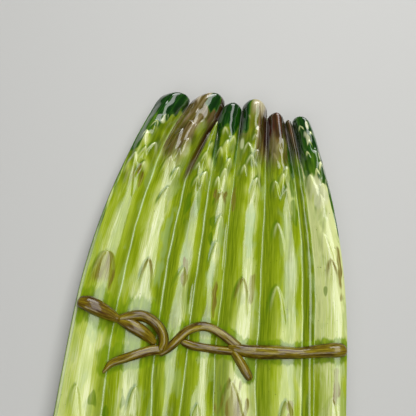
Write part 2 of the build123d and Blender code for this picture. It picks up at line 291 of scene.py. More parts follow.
def leaf_field(number, x, y, middle):
    """Height of the leaves over a stalk, and masks of their edges, drawn in olive and partly painted shade,
    of their brown parts, and of their pale rims, which are paler glaze with a painted highlight.
    """
    height, edge, brown, pale = np.zeros((4, *x.shape))
    for leaf in leaf_list(number):
        climb = (y - (leaf.point - leaf.length)) / leaf.length
        across = x - middle - leaf.side - leaf.lean * (1 - climb)
        taper = np.clip(1 - climb, 0.0, 1.0) ** (0.4 if leaf.brown > 0.5 else 0.54)
        half = 0.5 * leaf.width * taper * (0.82 + 0.18 * np.clip(climb, 0, 1))
        depth = np.where(climb < 1, half - np.abs(across), -np.hypot(across, (climb - 1) * leaf.length))
        step = smooth(-0.3 * leaf.slope, leaf.slope, depth) * smooth(0.05, 0.6, climb)
        body = leaf.thickness * step * (0.8 + 0.2 * smooth(0, 3.5, depth))
        height = np.maximum(height * (1 - 0.7 * step), body)
        # Olive just outside the edge, heavier on the left: partly a drawn line, partly painted shade beside
        # the raised step
        outer = leaf.line * bell(depth, -0.7 * leaf.line_width, leaf.line_width) * smooth(0.2, 0.7, climb)
        edge = np.maximum(edge * (1 - step), outer * (0.6 - 0.4 * np.tanh(across)))
        border = bell(np.maximum(np.abs(depth - 0.4) - 0.4, 0), 0, 1.1) * smooth(0.3, 0.85, climb)
        fill = smooth(0.2, 2.0, depth) * smooth(0.25, 0.5, climb)
        painted = np.maximum(leaf.edge_brown * border, leaf.brown * fill)
        brown = np.maximum(brown * (1 - step), painted)
        # Pale rim inside the edge: paler glaze with a painted highlight
        pale = np.maximum(pale * (1 - step), leaf.rim * bell(depth, 0.9, 0.8) * smooth(0.45, 0.9, climb))
    return height, edge, brown, pale


# Strands of the tie: how far each lies above its bed on the stalks, then x, y and radius along it
STRANDS = {
    "tie_left_strand": (0.0, (
        (-88.6, -27.2, 4.1), (-86.5, -27.5, 4.7), (-84.0, -28.0, 4.9), (-77.5, -30.0, 4.8),
        (-70.5, -32.4, 3.9), (-64.5, -34.6, 2.6),
    )),
    "tie_inner_strand": (-0.6, (
        (-65.5, -34.3, 2.0), (-61.0, -35.4, 3.2), (-55.0, -37.6, 4.0), (-47.7, -40.6, 4.1),
        (-41.5, -44.0, 3.3), (-38.0, -46.5, 2.3),
    )),
    "tie_hook": (0.4, (
        (-64.0, -34.6, 2.0), (-60.0, -33.2, 2.9), (-54.6, -31.4, 3.3), (-48.7, -30.3, 3.5),
        (-42.3, -31.8, 3.4), (-36.2, -35.8, 3.3), (-32.2, -41.0, 3.3), (-30.9, -46.0, 3.2),
        (-31.6, -50.5, 2.8),
    )),
    "tie_left_tail": (0.3, (
        (-29.5, -51.6, 2.4), (-34.0, -51.8, 3.0), (-39.2, -52.9, 3.1), (-45.5, -55.5, 3.0),
        (-52.9, -58.9, 2.8), (-59.0, -61.6, 2.6), (-64.0, -64.6, 2.2), (-67.8, -69.8, 1.0),
    )),
    "tie_arch": (0.2, (
        (-31.5, -53.6, 2.0), (-26.4, -49.2, 2.7), (-21.4, -43.3, 2.9), (-16.6, -37.6, 2.9),
        (-10.8, -33.9, 2.9), (-4.7, -32.3, 2.9), (1.7, -33.1, 2.8), (8.2, -35.8, 2.8),
        (14.1, -39.2, 2.9), (20.5, -43.0, 2.8),
    )),
    "tie_lower_strand": (-0.6, (
        (-20.0, -43.2, 1.8), (-15.5, -44.6, 2.6), (-9.4, -45.9, 2.8), (-1.1, -46.3, 2.7),
        (7.9, -46.6, 2.7), (16.2, -46.5, 2.8), (21.5, -46.2, 2.6),
    )),
    "tie_right_strand": (0.2, (
        (15.5, -44.2, 2.2), (19.5, -44.6, 3.5), (26.4, -45.2, 4.2), (34.0, -45.0, 4.7),
        (42.0, -44.5, 4.8), (52.0, -43.7, 4.4), (62.0, -43.0, 3.9), (75.0, -40.7, 4.4),
        (86.0, -39.0, 5.0), (90.2, -38.5, 4.6),
    )),
    "tie_right_tail": (-0.2, (
        (18.0, -47.2, 2.2), (20.8, -50.2, 2.8), (24.0, -54.2, 3.0), (27.4, -58.8, 3.0),
        (30.0, -62.2, 2.6),
    )),
}
PATH_STEP = 0.8

# How much thicker the drawn strands are than the solids. The right one already fills its place.
PLUMPNESS = 1.1
SNUG_STRAND = "tie_right_strand"


def smooth_path(points, spacing):
    """Points along a smooth curve through the given ones, with their radius."""
    p = np.array(points, float)
    ends = np.vstack([2 * p[0] - p[1], p, 2 * p[-1] - p[-2]])
    path = []
    for k in range(1, len(ends) - 2):
        before, start, end, after = ends[k - 1:k + 3]
        square = 2 * before - 5 * start + 4 * end - after
        cube = 3 * start - before - 3 * end + after
        steps = max(3, int(np.linalg.norm((end - start)[:2]) / spacing))
        for t in np.arange(steps) / steps:
            path.append(0.5 * (2 * start + (end - before) * t + square * t ** 2 + cube * t ** 3))
    path.append(p[-1])
    return np.array(path)


PATHS = {name: smooth_path(points, PATH_STEP) for name, (_, points) in STRANDS.items()}


def tie_distance(x, y):
    """Distance in plan from the surface of the nearest strand."""
    distance = np.full(x.shape, np.inf)
    for path_x, path_y, radius in np.vstack([path[::3] for path in PATHS.values()]):
        distance = np.minimum(distance, np.hypot(x - path_x, y - path_y) - radius)
    return distance


def surface(x, y):
    """Height of the stalks' upper face at a place."""
    bed = dish_top(x, y)
    top = bed
    for number in range(COUNT):
        left, right = groove(number, y), groove(number + 1, y)
        half = (right - left) / 2
        across = (x - (left + right) / 2) / half
        bump = relief(number, y) * profile(np.clip(across, -1, 1), half, GROOVE_FILLET)
        top = np.where(np.abs(across) <= 1, bed + bump, top)
    return top


def shell_end(x):
    """Far end of the shell: an arc behind the tips."""
    left_y, right_y = (TIP_LINE - TIP_SETBACK[k] - DOME[k] - EASE for k in (0, -1))
    points = np.array([
        (-half_width(left_y), left_y), (0, TIP_LINE - TIP_OVERHANG), (half_width(right_y), right_y),
    ])
    sums = np.column_stack([2 * points, np.ones(3)])
    centre_x, centre_y, rest = np.linalg.solve(sums, (points ** 2).sum(axis=1))
    radius = math.sqrt(rest + centre_x * centre_x + centre_y * centre_y)
    return centre_y + np.sqrt(np.maximum(radius ** 2 - (x - centre_x) ** 2, 0))


# Meshes
def add_mesh(name, points, faces, paint=None, sharp=None):
    """A smooth mesh with paint values, and sharp edges between marked points."""
    mesh = bpy.data.meshes.new(name)
    mesh.from_pydata((points * MM).tolist(), [], faces)
    mesh.shade_smooth()
    for key, values in (paint or {}).items():
        layer = mesh.attributes.new(key, "FLOAT_COLOR", "POINT")
        colour = np.ones((len(values), 4), np.float32)
        colour[:, :values.shape[1]] = values
        layer.data.foreach_set("color", colour.ravel())
    if sharp is not None:
        pairs = np.array([edge.vertices[:] for edge in mesh.edges])
        layer = mesh.attributes.new("sharp_edge", "BOOLEAN", "EDGE")
        layer.data.foreach_set("value", sharp[pairs].all(axis=1))
    mesh.validate()
    mesh.update()
    piece = bpy.data.objects.new(name, mesh)
    bpy.context.scene.collection.objects.link(piece)
    return piece


def bridge_faces(low, high, size):
    """Quads between two closed rings, given by their first points."""
    pairs = [(j, (j + 1) % size) for j in range(size)]
    return [(low + j, low + n, high + n, high + j) for j, n in pairs]


def tube_faces(rings, size):
    """Quads between closed rings that follow one another."""
    return [face for k in range(rings - 1) for face in bridge_faces(k * size, (k + 1) * size, size)]


def fan_faces(ring, point, size):
    """Triangles from a closed ring to one point."""
    return [(ring + j, ring + (j + 1) % size, point) for j in range(size)]


def turned(faces):
    return [face[::-1] for face in faces]


# Stalks
STALK_COLUMNS = 71
THIN_COLUMNS = 31
UNDER_COLUMNS = 9
CROWDING = 0.35
ROW_STEP = 0.75
DOME_ROWS = 30
DOME_TURN = math.radians(87)
TIP_FILLET = 0.05
OUTER_FILLET = 0.08
BEDDED = 0.6
MIDDLE_HEIGHT = 0.32

# Rounded edge of the cut end: distance along, and share of the section. The body starts after it.
CUT_EDGE = ((0.0, 0.93), (0.25, 0.965), (0.7, 0.985), (1.4, 0.996))
BODY_START = 2.2

# The cut end is a shallow dish: shares of its rings, the depth from one to the next, and the middle's depth
CUT_RINGS = (0.82, 0.5)
CUT_STEP = 0.25
CUT_MIDDLE = 0.55


def head_paint(number, side, down, y, rim):
    """Masks of a head's green, brown, maroon, cream and dark line."""
    green, brown, maroon, cream, line = np.zeros((5, *side.shape))
    flank = np.abs(side)
    if number == 0:
        # Green down the left flank
        green = fade(32, 42, down + 22 * side) * (0.62 + 0.38 * fade(14, 34, down))
    if number == 1:
        # Brown with green, cream at the tip and a dark line on the right
        streak = smooth(22, 34, down) * smooth(0.15, 0.55, side)
        brown = fade(44, 74, down) * (1 - 0.75 * streak)
        green = fade(14, 19, down) * smooth(-0.2, 0.1, side) * fade(0.6, 0.85, side)
        maroon = 0.85 * fade(20, 30, down) * smooth(0.55, 0.8, side)
        cream = 0.7 * fade(3, 8, down) * fade(-0.2, 0.2, side)
        line = smooth(0.72, 0.88, side) * smooth(70, 84, y) * fade(128, 140, y)
    if number == SHORT_STALK:
        # Green flanks, and the other side of the dark line
        green = 0.55 * fade(26, 46, down) * smooth(0.25, 0.8, flank)
        line = fade(-0.9, -0.6, side) * smooth(72, 90, y)
    if number == 3:
        # Green tip and flanks
        green = np.maximum(fade(20, 30, down), 0.55 * fade(46, 66, down) * smooth(0.35, 0.85, flank))
    if number == 4:
        # Cream at the tip, green on the left, brown and maroon on the right
        brown = smooth(-0.1, 0.35, side) * fade(42, 60, down) * smooth(3, 9, down)
        brown = np.maximum(brown, 0.45 * fade(26, 40, down))
        maroon = 0.85 * smooth(0.4, 0.85, side) * fade(34, 44, down) * smooth(4, 9, down)
        green = fade(-0.6, -0.25, side) * fade(26, 34, down)
        cream = 0.75 * fade(6, 16, down) * smooth(-0.5, 0.0, side)
    if number == 5:
        # Maroon above brown, with green low on the right
        maroon = fade(18, 30, down)
        brown = 0.8 * fade(36, 56, down)
        green = 0.8 * smooth(0.35, 0.8, side) * fade(46, 60, down) * smooth(24, 30, down)
    if number == THIN_STALK:
        # Maroon above green
        maroon = fade(26, 42, down)
        green = 0.45 * fade(42, 56, down) * smooth(24, 34, down)
    if number == LAST_STALK:
        # Green down the right flank, thinner on the scales' rims
        reach = 14 * side + 24 * smooth(0.7, 0.95, side)
        green = fade(48, 62, down - reach) * (0.7 + 0.3 * fade(20, 40, down)) * (1 - 0.32 * rim)
    return green, brown, maroon, cream, line


class Stalk:
    """One stalk with its leaves and paint: closed rings along it, and two ends."""

    def __init__(self, number):
        self.number = number
        self.first = END_LINE + END_SETBACK[number]
        self.last = TIP_LINE - TIP_SETBACK[number]
        self.columns = THIN_COLUMNS if number == THIN_STALK else STALK_COLUMNS
        places, shares = self.sections()
        even = np.linspace(-1, 1, self.columns)
        crowded = np.sin(even * math.pi / 2) * CROWDING + even * (1 - CROWDING)
        self.y, self.side = np.meshgrid(places, crowded, indexing="ij")
        left, right = sides(number, self.y)
        self.half = (right - left) / 2
        self.middle = (right + left) / 2
        self.x = self.middle + self.side * self.half
        self.leaf_height, *self.leaf_paint = leaf_field(number, self.x, self.y, self.middle)
        self.body_lumps = LUMPS[number] * ripple(self.x * 0.3, self.y * 0.09, number + 31)
        calm = 1 - 0.8 * smooth(self.last - 32, self.last - 16, self.y)
        self.head_lumps = calm * smooth(50, 95, self.y) * ripple(self.x * 0.42, self.y * 0.2, number + 43)
        self.make_rings(shares[:, None])

    def sections(self):
        """Places along the stalk and shares of its section there: cut end, body and domed tip."""
        dome, blunt = DOME[self.number], BLUNTNESS[self.number]
        edge_places, edge_shares = zip(*CUT_EDGE)
        body = np.arange(self.first + BODY_START, self.last - dome, ROW_STEP)
        rise = np.sin(np.linspace(0, DOME_TURN, DOME_ROWS))
        places = np.hstack([self.first + np.array(edge_places), body, self.last - dome + dome * rise])
        shares = np.hstack([edge_shares, np.ones(len(body)), (1 - rise ** blunt) ** (1 / blunt)])
        return places, shares

    def upper_face(self):
        """Height of the rounded stalk with its leaves and the lumps of the clay."""
        number, x, y, dome = self.number, self.x, self.y, DOME[self.number]
        fillet = GROOVE_FILLET * fade(self.last - dome - 6, self.last - 0.5 * dome, y) + TIP_FILLET
        if number == LAST_STALK:
            fillet = np.where(self.side > 0, OUTER_FILLET, fillet)
        rounded = profile(self.side, self.half, fillet)
        tip_lumps = smooth(self.last - 44, self.last - 30, y) * ripple(x * 0.25, y * 0.42, number + 57)
        lumps = 0.32 * ripple(x * 0.11, y * 0.045, number + 1) + self.body_lumps
        lumps = lumps + 0.6 * self.head_lumps + 0.3 * tip_lumps
        stalk = dish_top(x, y) + relief(number, y) * rounded
        return stalk + (self.leaf_height + lumps) * smooth(0.05, 0.4, rounded)

    def under_face(self):
        """Underside, rounded where the stalk reaches past the shell."""
        y, side = np.meshgrid(self.y[:, 0], np.linspace(1, -1, UNDER_COLUMNS), indexing="ij")
        x = self.middle[:, :1] + side * self.half[:, :1]
        beyond = smooth(-3, 3, y - shell_end(x)) + smooth(-3, 1, SHELL_START - y)
        depth = BEDDED + 2.2 * beyond * np.sqrt(np.maximum(1 - side ** 2, 0)) + 0.5 * beyond
        if self.number == LAST_STALK:
            depth = depth + 2.0 * smooth(0.5, 1.0, side)
        return side, x, y, dish_top(x, y) - depth

    def make_rings(self, shares):
        """Closed rings, drawn together towards both ends."""
        under_side, under_x, under_y, under_z = self.under_face()
        x = np.hstack([self.x, under_x])
        z = np.hstack([self.upper_face(), under_z])
        self.centre_x = self.middle[:, :1]
        self.centre_z = dish_top(self.centre_x, self.y[:, :1]) + MIDDLE_HEIGHT * RELIEF[self.number]
        self.lean = TIP_LEAN[self.number] * (1 - shares) ** 1.5
        self.ring_side = np.hstack([self.side, under_side])
        self.ring_x = self.centre_x + self.lean + (x - self.centre_x) * shares
        self.ring_y = np.hstack([self.y, under_y])
        self.ring_z = self.centre_z + (z - self.centre_z) * shares ** 0.92
        self.rings, self.around = self.ring_x.shape
        self.cap_size = len(CUT_RINGS) * self.around + 1

    def points(self):
        """The rings, then those of the cut end, then the closing points of both ends."""
        centre_x, centre_z = self.centre_x[0], self.centre_z[0]
        parts = [np.dstack([self.ring_x, self.ring_y, self.ring_z]).reshape(-1, 3)]
        for k, shrink in enumerate(CUT_RINGS):
            parts.append(np.column_stack([
                centre_x + (self.ring_x[0] - centre_x) * shrink,
                np.full(self.around, self.first + CUT_STEP * (k + 1)),
                centre_z + (self.ring_z[0] - centre_z) * shrink,
            ]))
        parts.append([centre_x[0], self.first + CUT_MIDDLE, centre_z[0]])
        parts.append([self.centre_x[-1, 0] + self.lean[-1, 0], self.last, self.centre_z[-1, 0]])
        return np.vstack(parts)

    def faces(self):
        around, total = self.around, self.ring_x.size
        faces = tube_faces(self.rings, around)
        starts = [0, *(total + k * around for k in range(len(CUT_RINGS)))]
        for outer, inner in zip(starts, starts[1:]):
            faces += bridge_faces(inner, outer, around)
        end_point = starts[-1] + around
        faces += turned(fan_faces(starts[-1], end_point, around))
        return faces + fan_faces(total - around, end_point + 1, around)

    def whole(self, values):
        """Values of the upper face on whole rings, with nothing underneath."""
        return np.pad(values, ((0, 0), (0, self.around - values.shape[1])))

    def layer(self, *values, at_end=0, to_tip=False):
        """Paint values at every point. Only the last one may fill the cut end, and few reach the tip."""
        columns = []
        for value in map(self.whole, values):
            columns.append(np.append(value, [0.0] * self.cap_size + [value[-1].mean() * to_tip]))
        columns[-1][-self.cap_size - 1:-1] = at_end
        return np.column_stack(columns)

    def groove_paint(self):
        """Masks of the pale lines in the grooves, paler glaze with a painted highlight, and of the painted
        shade with dark pooled glaze in the grooves between the heads.
        """
        number, y, side = self.number, self.y, self.side
        first_stalk = number == 0
        # On the first stalk's left edge the pale line widens into a painted highlight along the lip
        lip_highlight = first_stalk * (side < 0) * fade(-5, 35, y)
        strength = np.where(side < 0, GROOVE_LINES[number], GROOVE_LINES[number + 1])
        from_groove = self.half * (1 - np.abs(side))
        pale = np.maximum(strength, lip_highlight) * bell(from_groove, 0, 0.55 + 0.5 * lip_highlight)
        kept = smooth(0.5, 0.9, side) * first_stalk * fade(112, 128, y)
        pale = pale * (1 - 0.9 * smooth(74, 100, y) * (1 - kept))
        # Painted shade with dark pooled glaze near the tips, in the grooves between the heads
        seam_end = np.where(side < 0, SEAM_ENDS[number], SEAM_ENDS[number + 1])
        dark = smooth(0.7, 0.94, np.abs(side)) * smooth(-8, 14, y - seam_end)
        return pale, dark * smooth(1.5, 7.0, self.last - y)

    def washes(self):
        """Tone along the rings, and masks of the pale crest, partly thinner glaze and partly a painted
        highlight, and of the dark flanks.
        """
        number, side = self.number, self.side
        low, half_way, head = TONES[number]
        tone = low + (half_way - low) * smooth(-70, 5, self.ring_y)
        tone = tone + (head - half_way) * smooth(45, 105, self.ring_y)
        tone = tone + self.whole(0.45 * self.head_lumps + 0.5 * self.body_lumps)
        middle, half, strength = CRESTS[number]
        crest = strength * fade(0.0, 1.3, np.abs(side - middle) / half) * fade(80, 120, self.y)
        crest = crest * (0.75 + 0.45 * ripple(self.x * 0.05, self.y * 0.06, number + 57))
        left_band = LEFT_BANDS[number] * fade(-0.75, 0.0, side)
        return tone, crest, left_band, RIGHT_BANDS[number] * smooth(0.4, 0.85, side)

    def dabs(self, *kinds):
        """Mask of the touches of the brush in some colours."""
        total = np.zeros_like(self.x)
        ragged = self.x * 0.8, self.y * 0.3
        for stalk, place, offset, long_half, wide_half in sum((DABS[kind] for kind in kinds), ()):
            if stalk == self.number:
                far = np.hypot((self.y - place) / long_half, (self.x - self.middle - offset) / wide_half)
                total = np.maximum(total, fade(0.5, 1.1, far + 0.4 * ripple(*ragged, place)))
        return total

    def paint(self, points):
        """All paint values, and the grain that the brush strokes follow."""
        x, y = self.ring_x, self.ring_y
        grain = points - (self.centre_x[0, 0], 0, 0)
        grain[:x.size, 0] = (x - self.centre_x).ravel()
        grain[:, 2] = self.number * 37.0
        down = self.last - y + 5.0 * ripple(x * 0.62, y * 0.02, self.number + 20)
        leaf_edge, leaf_brown, rim = self.leaf_paint
        *tips, cream, line = head_paint(self.number, self.ring_side, down, y, self.whole(rim))
        tone, crest, left_band, right_band = self.washes()
        groove_pale_and_highlight, seam_shade = self.groove_paint()
        spread = 4.2 + 5.5 * fade(-44, -26, x) * smooth(-72, -60, y)
        pool = bell(np.maximum(tie_distance(x, y), 0), 0, spread)
        edge = np.maximum(leaf_edge, self.dabs("olive"))
        marks = np.maximum(leaf_brown, self.dabs("mauve", "brown"))
        return {
            "grain": grain,
            "tips": self.layer(*tips, to_tip=True),
            "cream": self.layer(cream, to_tip=True),
            "form": self.layer(crest, groove_pale_and_highlight, pool),
            "leaf": self.layer(edge, rim, marks),
            "shade": self.layer(tone, seam_shade),
            "touch": self.layer(line, self.dabs("sage"), self.dabs("fleck")),
            "zone": self.layer(left_band, right_band, fade(0.4, 1.2, y - self.first), at_end=1),
        }

    def build(self):
        points = self.points()
        corner = np.zeros(len(points), bool)
        ring_corner = corner[:self.ring_x.size].reshape(self.ring_x.shape)
        ring_corner[:, [0, self.columns - 1, self.columns, -1]] = True
        place = self.number + 1
        piece = add_mesh(f"asparagus_stalk_{place}", points, self.faces(), self.paint(points), corner)
        nodes = [f"stalk_{place}"]
        if self.number != THIN_STALK:
            nodes.append(f"scale_leaves_{place}")
        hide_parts(*nodes)
        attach(piece, "root")
        return piece


# Tie
STRAND_SIDES = 28
STRAND_FLATNESS = 0.9
STRAND_BED = 0.2

# Angles of the rings that round off a strand's end
ROUND_END = (0.35, 0.7, 1.0, 1.25, 1.45)


def soften(values, travel, reach):
    """Values along a path, each averaged with its neighbours within reach."""
    weight = bell(travel[:, None], travel, reach)
    return (weight * values).sum(axis=1) / weight.sum(axis=1)


def strand_lift(name, t):
    """How far a strand lies above its bed as it crosses others."""
    lift = STRANDS[name][0]
    if name == "tie_inner_strand":
        return lift - 0.8 * smooth(0.7, 1.0, t)
    if name == "tie_hook":
        return lift + 1.2 * smooth(0.35, 0.75, t)
    if name == "tie_arch":
        return lift + 0.5 * smooth(0.1, 0.4, t) * fade(0.7, 1.0, t)
    return lift


def strand_line(name):
    """Middle line of a strand over the stalks, its radius and the distance along it."""
    x, y, radius = PATHS[name].T
    if name != SNUG_STRAND:
        radius = radius * PLUMPNESS
    travel = np.append(0, np.cumsum(np.hypot(np.diff(x), np.diff(y))))
    ground = surface(x, y)
    bed = soften(np.maximum(ground, soften(ground, travel, 9.0)), travel, 6.0)
    z = bed + STRAND_BED * radius + strand_lift(name, travel / travel[-1])
    return np.column_stack([x, y, z]), radius, travel


def strand_rings(line, radius, travel, turn, seed):
    """Uneven hand-rolled rings round a line, rounded off at both ends."""
    tangent = np.gradient(line, axis=0)
    tangent /= np.linalg.norm(tangent, axis=1)[:, None]
    side = np.cross(tangent, (0, 0, 1.0))
    side /= np.linalg.norm(side, axis=1)[:, None]
    up = np.cross(side, tangent)
    twist = 0.04 * travel[:, None]
    wave = 1 + 0.05 * np.cos(3 * turn + twist + seed) + 0.012 * np.cos(7 * turn - twist)
    reach = radius[:, None] * wave
    wide = side[:, None] * (reach * np.cos(turn))[..., None]
    rings = line[:, None] + wide + up[:, None] * (STRAND_FLATNESS * reach * np.sin(turn))[..., None]
    caps = []
    for at, direction in ((0, -1), (-1, 1)):
        caps.append([
            line[at] + (rings[at] - line[at]) * math.cos(angle)
            + direction * tangent[at] * radius[at] * STRAND_FLATNESS * math.sin(angle)
            for angle in ROUND_END
        ])
    return np.vstack([caps[0][::-1], rings, caps[1]])


def build_strand(name):
    line, radius, travel = strand_line(name)
    turn = np.linspace(0, math.tau, STRAND_SIDES, endpoint=False)
    seed = sum(map(ord, name)) % 17
    rings = strand_rings(line, radius, travel, turn, seed)
    count = len(rings)
    total = count * STRAND_SIDES
    points = np.vstack([rings.reshape(-1, 3), rings[0].mean(axis=0), rings[-1].mean(axis=0)])
    faces = tube_faces(count, STRAND_SIDES)
    faces += turned(fan_faces(0, total, STRAND_SIDES))
    faces += fan_faces(total - STRAND_SIDES, total + 1, STRAND_SIDES)
    cap = np.zeros(len(ROUND_END))
    along = np.hstack([cap, travel, cap + travel[-1]])
    grain = np.column_stack([
        np.append(np.tile(turn * 3.0, count), [0, 0]),
        np.append(np.repeat(along, STRAND_SIDES), [0, travel[-1]]),
        np.full(total + 2, seed * 11.0),
    ])
    # Height round each ring, from 0 underneath to 1 on top: the tie's glaze uses it for painted shade on
    # the undersides
    height = np.append(np.tile(np.sin(turn) * 0.5 + 0.5, count), [0.5, 0.5])
    piece = add_mesh(name + "_vine", points, turned(faces), {"grain": grain, "form": height[:, None]})
    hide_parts(name)
    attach(piece, "root")
    return piece


# Shell
SHELL_COLUMNS = 121
SHELL_ROWS = 181
SHELL_EDGE = 2.6


def shell_grid():
    """Places over the shell, its half width and the distance to its edge."""
    even = np.linspace(-1, 1, SHELL_COLUMNS)
    across = np.sin(even * math.pi / 2) * 0.75 + even * 0.25
    steps = np.linspace(0, 1, SHELL_ROWS)
    along = 0.5 - 0.5 * np.cos(steps * math.pi) * 0.8 - 0.5 * (1 - 2 * steps) * 0.2
    far = np.full(SHELL_COLUMNS, TIP_LINE - 15)
    for _ in range(12):
        far = shell_end(across * half_width(far))
    y = SHELL_START + along[:, None] * (far - SHELL_START)
    wide = half_width(y)
    edge = np.minimum(wide * (1 - np.abs(across)), np.minimum(y - SHELL_START, far - y))
    return across * wide, y, wide, np.maximum(edge, 0)


def build_shell():
    """Upper and under face of the shell, which share the points of its edge."""
    x, y, wide, edge = shell_grid()
    part = np.clip(edge / SHELL_EDGE, 0, 1)
    plump = np.sqrt(1 - (1 - part) ** 2)
    middle = dish_top(x, y) - SHELL_THICKNESS / 2
    lip = 1.5 * bell(x + wide, 1.6, 1.0) * fade(20, 90, y)
    top = middle + (SHELL_THICKNESS / 2 - 0.1) * plump + lip * plump
    under = middle - (SHELL_THICKNESS / 2 + 0.18 * ripple(x * 0.05, y * 0.04, 3)) * plump
    inner = (slice(1, -1), slice(1, -1))
    points = np.dstack([x, y, top]).reshape(-1, 3)
    points = np.vstack([points, np.dstack([x, y, under])[inner].reshape(-1, 3)])
    upper = np.arange(x.size).reshape(x.shape)
    lower = upper.copy()
    lower[inner] = x.size + np.arange(x[inner].size).reshape(x[inner].shape)
    faces = []
    for grid, order in ((upper, 1), (lower, -1)):
        quads = np.stack([grid[:-1, :-1], grid[:-1, 1:], grid[1:, 1:], grid[1:, :-1]], axis=-1)
        faces += quads.reshape(-1, 4)[:, ::order].tolist()
    inset = np.append(edge, edge[inner]) / 20.0
    # Painted highlight along the left lip
    crest = np.append(bell(x + wide, 2.4, 0.6) * fade(5, 45, y), np.zeros(x[inner].size))
    piece = add_mesh("plate_shell", points, faces, {"form": np.column_stack([inset, crest])})
    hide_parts("plate_body")
    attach(piece, "root")
    return piece


# Foot: distances in from each wall and heights of its section. Without a height it is let into the shell.
FOOT_OUTER = ((-0.5, None), (0.1, 3.0), (0.35, 1.3), (0.75, 0.45), (1.3, 0.08))
FOOT_INNER = ((1.3, 0.08), (0.75, 0.45), (0.35, 1.3), (0.1, 2.6), (-0.5, None))
FOOT_LET_IN = 0.8
CORNER_STEPS = 40
SIDE_STEPS = 30


def foot_outline():
    """Points round the foot's outer wall, with the outward direction at each."""
    half_x, half_y = FOOT_WIDTH / 2 - FOOT_CORNER, FOOT_LENGTH / 2 - FOOT_CORNER
    corners = np.array(((half_x, half_y), (-half_x, half_y), (-half_x, -half_y), (half_x, -half_y)))
    along = np.append(np.zeros(CORNER_STEPS), np.linspace(0, 1, SIDE_STEPS)[1:-1])
    turn = np.append(np.linspace(0, 90, CORNER_STEPS), np.full(SIDE_STEPS - 2, 90))
    parts = []
    for k, corner in enumerate(corners):
        angle = np.radians(90 * k + turn)
        out = np.column_stack([np.cos(angle), np.sin(angle)])
        run = corners[(k + 1) % 4] - corner
        parts.append(np.hstack([corner + along[:, None] * run + FOOT_CORNER * out, out]))
    return np.vstack(parts)


def build_foot():
    """Ring with a rounded tread, let into the underside of the shell."""
    outline = foot_outline()
    section = [*FOOT_OUTER, (FOOT_WALL / 2, 0.0)]
    section += [(FOOT_WALL - inset, z) for inset, z in FOOT_INNER]
    rings = []
    for inset, z in section:
        x = outline[:, 0] - outline[:, 2] * inset
        y = outline[:, 1] - outline[:, 3] * inset
        roof = dish_top(x, y) - SHELL_THICKNESS + FOOT_LET_IN
        level = roof if z is None else np.minimum(z, roof)
        rings.append(np.column_stack([x, y, level]))
    size = len(outline)
    faces = tube_faces(len(rings), size) + bridge_faces((len(rings) - 1) * size, 0, size)
    piece = add_mesh("foot_rim", np.vstack(rings), turned(faces))
    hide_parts("foot_ring")
    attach(piece, "root")
    return piece


# Materials
def rgb(code):
    values = [int(code[k:k + 2], 16) / 255 for k in (0, 2, 4)]
    return tuple(c / 12.92 if c <= 0.04045 else ((c + 0.055) / 1.055) ** 2.4 for c in values) + (1.0,)


class Nodes:
    """Short calls for one material's nodes."""

    def __init__(self, name):
        self.material = bpy.data.materials.new(name)
        self.material.use_nodes = True
        self.tree = self.material.node_tree
        self.tree.nodes.clear()
        self.new = self.tree.nodes.new
        self.base = None
        self.shader = self.new("ShaderNodeBsdfPrincipled")
        self.fill(self.new("ShaderNodeOutputMaterial"), Surface=self.shader.outputs[0])

    def put(self, socket, value):
        if isinstance(value, (int, float, tuple)):
            socket.default_value = value
        else:
            self.tree.links.new(value, socket)

    def fill(self, node, **values):
        for key, value in values.items():
            self.put(node.inputs[key.replace("_", " ")], value)

    def set(self, **values):
        self.fill(self.shader, **values)

    def values(self, name):
        return self.parts(self.attribute(name))

    def parts(self, vector):
        node = self.new("ShaderNodeSeparateXYZ")
        self.put(node.inputs[0], vector)
        return node.outputs

    def attribute(self, name):
        node = self.new("ShaderNodeAttribute")
        node.attribute_name = name
        return node.outputs["Vector"]

    def noise(self, vector, scale, detail=3.0, rough=0.5, bend=0.0):
        stretched = self.new("ShaderNodeVectorMath")
        stretched.operation = "MULTIPLY"
        self.put(stretched.inputs[0], vector)
        self.put(stretched.inputs[1], scale)
        node = self.new("ShaderNodeTexNoise")
        self.fill(node, Vector=stretched.outputs[0], Scale=1.0, Detail=detail)
        self.fill(node, Roughness=rough, Distortion=bend)
        return node.outputs["Fac"]

    def math(self, operation, a, b):
        node = self.new("ShaderNodeMath")
        node.operation = operation
        self.put(node.inputs[0], a)
        self.put(node.inputs[1], b)
        return node.outputs[0]

    def plus(self, a, b):
        return self.math("ADD", a, b)

    def minus(self, a, b):
        return self.math("SUBTRACT", a, b)

    def times(self, a, b):
        return self.math("MULTIPLY", a, b)

    def most(self, a, b):
        return self.math("MAXIMUM", a, b)

    def swing(self, noise, amount):
        return self.times(self.minus(noise, 0.5), amount)

    def ramp(self, value, low, high, start=0.0, end=1.0):
        node = self.new("ShaderNodeMapRange")
        node.interpolation_type = "SMOOTHSTEP"
        self.fill(node, Value=value, From_Min=low, From_Max=high, To_Min=start, To_Max=end)
        return node.outputs["Result"]

    def colours(self, value, *stops):
        node = self.new("ShaderNodeValToRGB")
        self.put(node.inputs[0], value)
        ramp = node.color_ramp
        while len(ramp.elements) < len(stops):
            ramp.elements.new(0.5)
        for element, (place, code) in zip(ramp.elements, stops):
            element.position = place
            element.color = rgb(code)
        return node.outputs["Color"]

    def mix(self, factor, a, b):
        node = self.new("ShaderNodeMix")
        node.data_type = "RGBA"
        for socket, value in ((0, factor), (6, a), (7, b)):
            self.put(node.inputs[socket], value)
        return node.outputs[2]

    def cover(self, amount, colour):
        """Paint over the base with a colour or its code."""
        if isinstance(colour, str):
            colour = rgb(colour)
        self.base = self.mix(amount, self.base, colour)

    def bump(self, height, distance, strength, **normal):
        node = self.new("ShaderNodeBump")
        self.fill(node, Strength=strength, Distance=distance, Height=height, **normal)
        return node.outputs[0]


